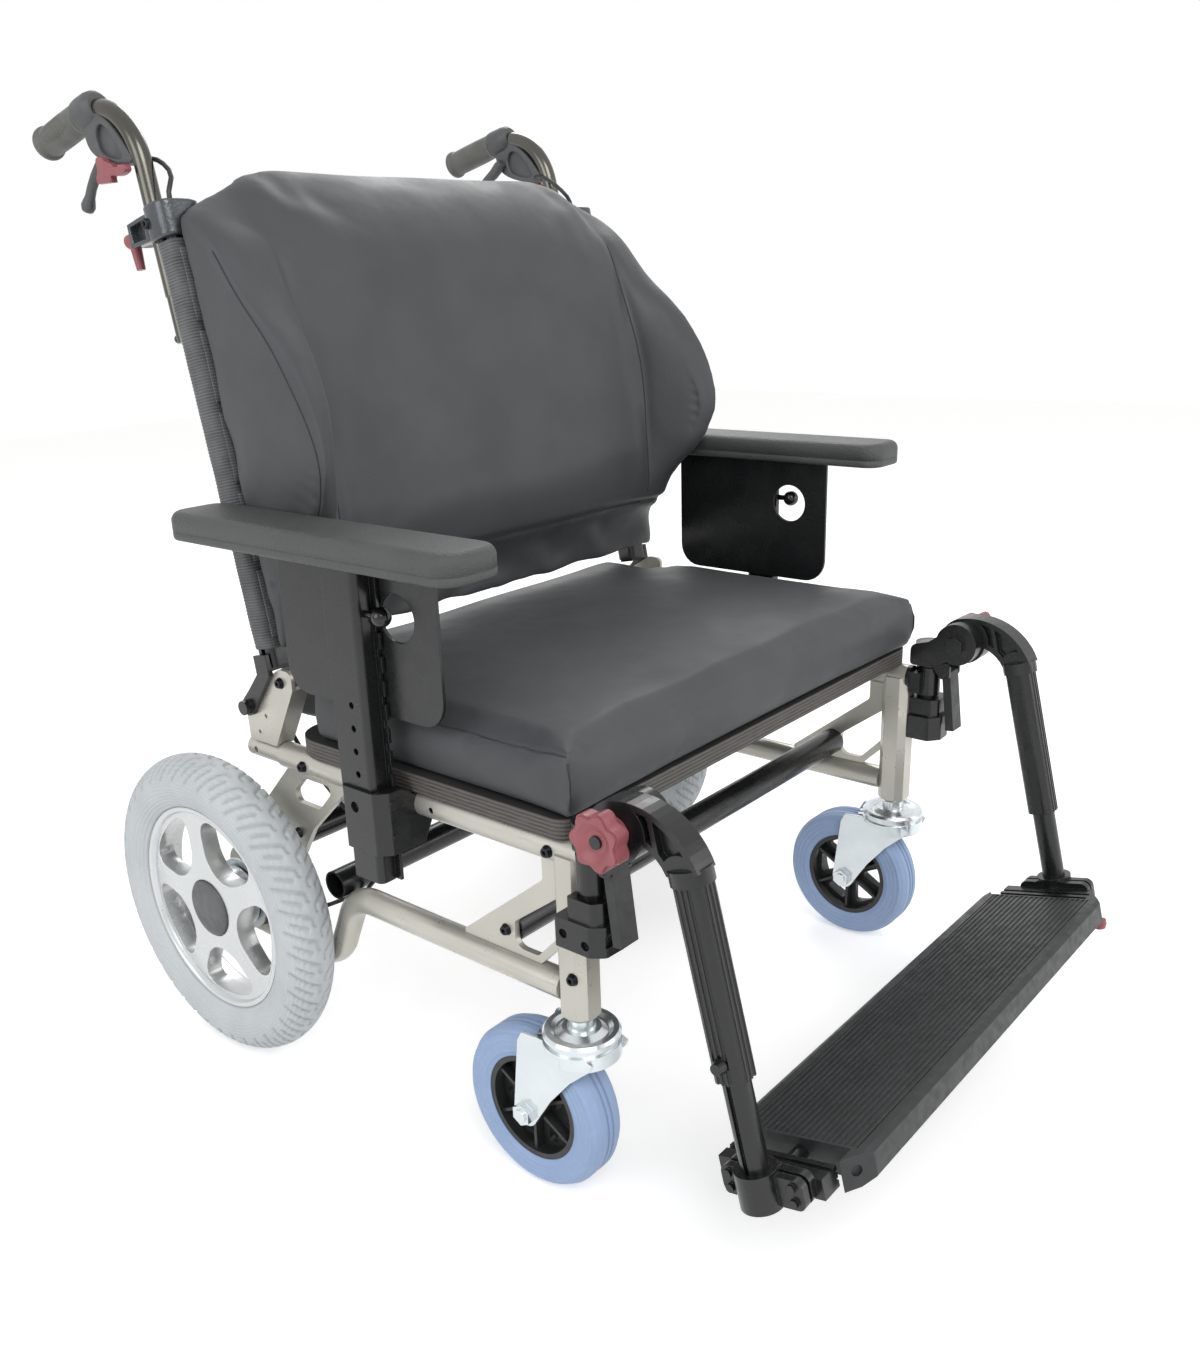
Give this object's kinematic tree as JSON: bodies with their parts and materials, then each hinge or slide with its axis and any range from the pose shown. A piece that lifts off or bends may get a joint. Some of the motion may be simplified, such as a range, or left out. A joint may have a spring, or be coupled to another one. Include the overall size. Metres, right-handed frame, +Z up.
{
  "type": "wheelchair",
  "caption": "Attendant-pushed comfort wheelchair with a reclining cushioned back, height-adjustable arms and handles, elevating legs and a ribbed one-piece footplate.",
  "frame": {"origin": "on the floor, under the middle of the chair's bounding box", "axes": "+Z up, the front of the chair faces -Y, +X is the sitting person's left"},
  "size_m": [0.692, 0.9061, 0.9182],
  "materials": {
    "frame_paint": "satin",
    "rim_paint": "satin",
    "zinc": "satin",
    "black_paint": "satin",
    "black_steel": "satin",
    "board_ply": "matte",
    "cushion_cloth": "matte",
    "webbing": "matte",
    "black_plastic": "matte",
    "grey_tyre": "matte",
    "blue_rubber": "matte",
    "grey_cast": "satin",
    "handle_paint": "satin",
    "grey_plastic": "matte",
    "red_plastic": "satin",
    "ribbed_black": "matte"
  },
  "bodies": {
    "frame": {"seat_rails": "frame_paint", "uprights": "frame_paint", "lower_rails": "frame_paint", "side_gussets": "frame_paint", "rear_side_plates": "frame_paint", "crossbars": "black_paint", "rail_inserts": "frame_paint", "recline_brackets": "frame_paint", "frame_bolts": "black_steel", "seat_board": "board_ply", "seat_cushion": "cushion_cloth", "arm_sockets": "black_paint", "arm_posts": "black_paint", "caster_heads": "zinc", "wheel_axles": "zinc", "hanger_sockets": "black_paint", "leg_hangers": "black_paint", "hanger_brackets": "black_paint", "frame_cables": "black_plastic"},
    "rear_wheel_left": {"rear_rim_left": "rim_paint", "rear_tyre_left": "grey_tyre"},
    "rear_wheel_right": {"rear_rim_right": "rim_paint", "rear_tyre_right": "grey_tyre"},
    "caster_fork_left": {"caster_fork_left": "zinc"},
    "caster_fork_right": {"caster_fork_right": "zinc"},
    "caster_wheel_left": {"caster_centre_left": "black_plastic", "caster_tyre_left": "blue_rubber"},
    "caster_wheel_right": {"caster_centre_right": "black_plastic", "caster_tyre_right": "blue_rubber"},
    "armrest_left": {"arm_pad_left": "black_plastic", "side_panel_left": "black_paint"},
    "armrest_right": {"arm_pad_right": "black_plastic", "side_panel_right": "black_paint"},
    "lock_knob_left": {"lock_knob_left": "black_plastic"},
    "lock_knob_right": {"lock_knob_right": "black_plastic"},
    "back": {"back_levers": "black_paint", "back_tubes": "black_paint", "back_sleeves": "webbing", "back_straps": "webbing", "back_cushion": "cushion_cloth", "handle_clamps": "grey_cast"},
    "handle_left": {"push_handle_left": "handle_paint", "brake_housing_left": "grey_plastic"},
    "handle_right": {"push_handle_right": "handle_paint", "brake_housing_right": "grey_plastic"},
    "brake_lever_left": {"brake_lever_left": "grey_plastic"},
    "brake_lever_right": {"brake_lever_right": "grey_plastic"},
    "parking_latch_left": {"parking_latch_left": "red_plastic"},
    "parking_latch_right": {"parking_latch_right": "red_plastic"},
    "clamp_lever_left": {"clamp_lever_left": "red_plastic"},
    "clamp_lever_right": {"clamp_lever_right": "red_plastic"},
    "legrest": {"leg_arms": "black_paint"},
    "leg_knob_left": {"leg_knob_left": "red_plastic"},
    "leg_knob_right": {"leg_knob_right": "red_plastic"},
    "leg_slide": {"leg_extensions": "black_paint", "foot_clamps": "black_paint"},
    "footplate": {"footplate": "ribbed_black"},
    "footplate_catch": {"footplate_catch": "red_plastic"},
    "release_paddle_left": {"release_paddle_left": "black_plastic"},
    "release_paddle_right": {"release_paddle_right": "black_plastic"}
  },
  "joints": [
    {"name": "rear_wheel_left_spin", "type": "hinge", "parent": "frame", "child": "rear_wheel_left", "pos_m": [0.312, 0.2433, 0.158], "axis": [1, 0, 0], "continuous": true},
    {"name": "caster_left_swivel", "type": "hinge", "parent": "frame", "child": "caster_fork_left", "pos_m": [0.273, -0.2007, 0.16], "axis": [0, 0, 1], "continuous": true},
    {"name": "caster_wheel_left_spin", "type": "hinge", "parent": "caster_fork_left", "child": "caster_wheel_left", "pos_m": [0.273, -0.1537, 0.075], "axis": [1, 0, 0], "continuous": true},
    {"name": "armrest_left_height", "type": "slide", "parent": "frame", "child": "armrest_left", "axis": [0, 0, 1], "range_m": [0, 0.0615]},
    {"name": "lock_knob_left_pull", "type": "slide", "parent": "frame", "child": "lock_knob_left", "axis": [0, -1, 0], "range_m": [0, 0.008], "stiffness_N_per_m": 800, "springref_m": -0.002},
    {"name": "handle_left_height", "type": "slide", "parent": "back", "child": "handle_left", "axis": [0, 0.1908, 0.9816], "range_m": [0, 0.07]},
    {"name": "brake_lever_left_squeeze", "type": "hinge", "parent": "handle_left", "child": "brake_lever_left", "pos_m": [0.268, 0.3453, 0.874], "axis": [1, 0, 0], "range_deg": [0, 22], "stiffness_Nm_per_rad": 1.2, "springref_deg": -8.59},
    {"name": "parking_latch_left_turn", "type": "hinge", "parent": "handle_left", "child": "parking_latch_left", "pos_m": [0.268, 0.3213, 0.86], "axis": [-1, 0, 0], "range_deg": [0, 18]},
    {"name": "clamp_lever_left_turn", "type": "hinge", "parent": "back", "child": "clamp_lever_left", "pos_m": [0.268, 0.29527, 0.79452], "axis": [0, 0.9816, -0.1908], "range_deg": [0, 90]},
    {"name": "leg_knob_left_turn", "type": "hinge", "parent": "frame", "child": "leg_knob_left", "pos_m": [0.312, -0.2667, 0.371], "axis": [1, 0, 0], "continuous": true},
    {"name": "release_paddle_left_press", "type": "hinge", "parent": "frame", "child": "release_paddle_left", "pos_m": [0.286, -0.2527, 0.333], "axis": [-1, 0, 0], "range_deg": [0, 12], "stiffness_Nm_per_rad": 0.8, "springref_deg": -5.73},
    {"name": "rear_wheel_right_spin", "type": "hinge", "parent": "frame", "child": "rear_wheel_right", "pos_m": [-0.312, 0.2433, 0.158], "axis": [1, 0, 0], "continuous": true},
    {"name": "caster_right_swivel", "type": "hinge", "parent": "frame", "child": "caster_fork_right", "pos_m": [-0.273, -0.2007, 0.16], "axis": [0, 0, 1], "continuous": true},
    {"name": "caster_wheel_right_spin", "type": "hinge", "parent": "caster_fork_right", "child": "caster_wheel_right", "pos_m": [-0.273, -0.1537, 0.075], "axis": [1, 0, 0], "continuous": true},
    {"name": "armrest_right_height", "type": "slide", "parent": "frame", "child": "armrest_right", "axis": [0, 0, 1], "range_m": [0, 0.0615]},
    {"name": "lock_knob_right_pull", "type": "slide", "parent": "frame", "child": "lock_knob_right", "axis": [0, -1, 0], "range_m": [0, 0.008], "stiffness_N_per_m": 800, "springref_m": -0.002},
    {"name": "handle_right_height", "type": "slide", "parent": "back", "child": "handle_right", "axis": [0, 0.1908, 0.9816], "range_m": [0, 0.07]},
    {"name": "brake_lever_right_squeeze", "type": "hinge", "parent": "handle_right", "child": "brake_lever_right", "pos_m": [-0.268, 0.3453, 0.874], "axis": [1, 0, 0], "range_deg": [0, 22], "stiffness_Nm_per_rad": 1.2, "springref_deg": -8.59},
    {"name": "parking_latch_right_turn", "type": "hinge", "parent": "handle_right", "child": "parking_latch_right", "pos_m": [-0.268, 0.3213, 0.86], "axis": [-1, 0, 0], "range_deg": [0, 18]},
    {"name": "clamp_lever_right_turn", "type": "hinge", "parent": "back", "child": "clamp_lever_right", "pos_m": [-0.268, 0.29527, 0.79452], "axis": [0, 0.9816, -0.1908], "range_deg": [-90, 0]},
    {"name": "leg_knob_right_turn", "type": "hinge", "parent": "frame", "child": "leg_knob_right", "pos_m": [-0.312, -0.2667, 0.371], "axis": [1, 0, 0], "continuous": true},
    {"name": "release_paddle_right_press", "type": "hinge", "parent": "frame", "child": "release_paddle_right", "pos_m": [-0.286, -0.2527, 0.333], "axis": [-1, 0, 0], "range_deg": [0, 12], "stiffness_Nm_per_rad": 0.8, "springref_deg": -5.73},
    {"name": "back_recline", "type": "hinge", "parent": "frame", "child": "back", "pos_m": [0, 0.1943, 0.371], "axis": [-1, 0, 0], "range_deg": [0, 40]},
    {"name": "legrest_raise", "type": "hinge", "parent": "frame", "child": "legrest", "pos_m": [0, -0.2667, 0.371], "axis": [-1, 0, 0], "range_deg": [0, 70]},
    {"name": "leg_length", "type": "slide", "parent": "legrest", "child": "leg_slide", "axis": [0, -0.2419, -0.9703], "range_m": [-0.04, 0.05]},
    {"name": "footplate_angle", "type": "hinge", "parent": "leg_slide", "child": "footplate", "pos_m": [0, -0.38962, 0.11359], "axis": [1, 0, 0], "range_deg": [-15, 20]},
    {"name": "footplate_catch_pull", "type": "slide", "parent": "footplate", "child": "footplate_catch", "axis": [0, -0.2419, -0.9703], "range_m": [0, 0.004], "stiffness_N_per_m": 800, "springref_m": -0.002}
  ]
}
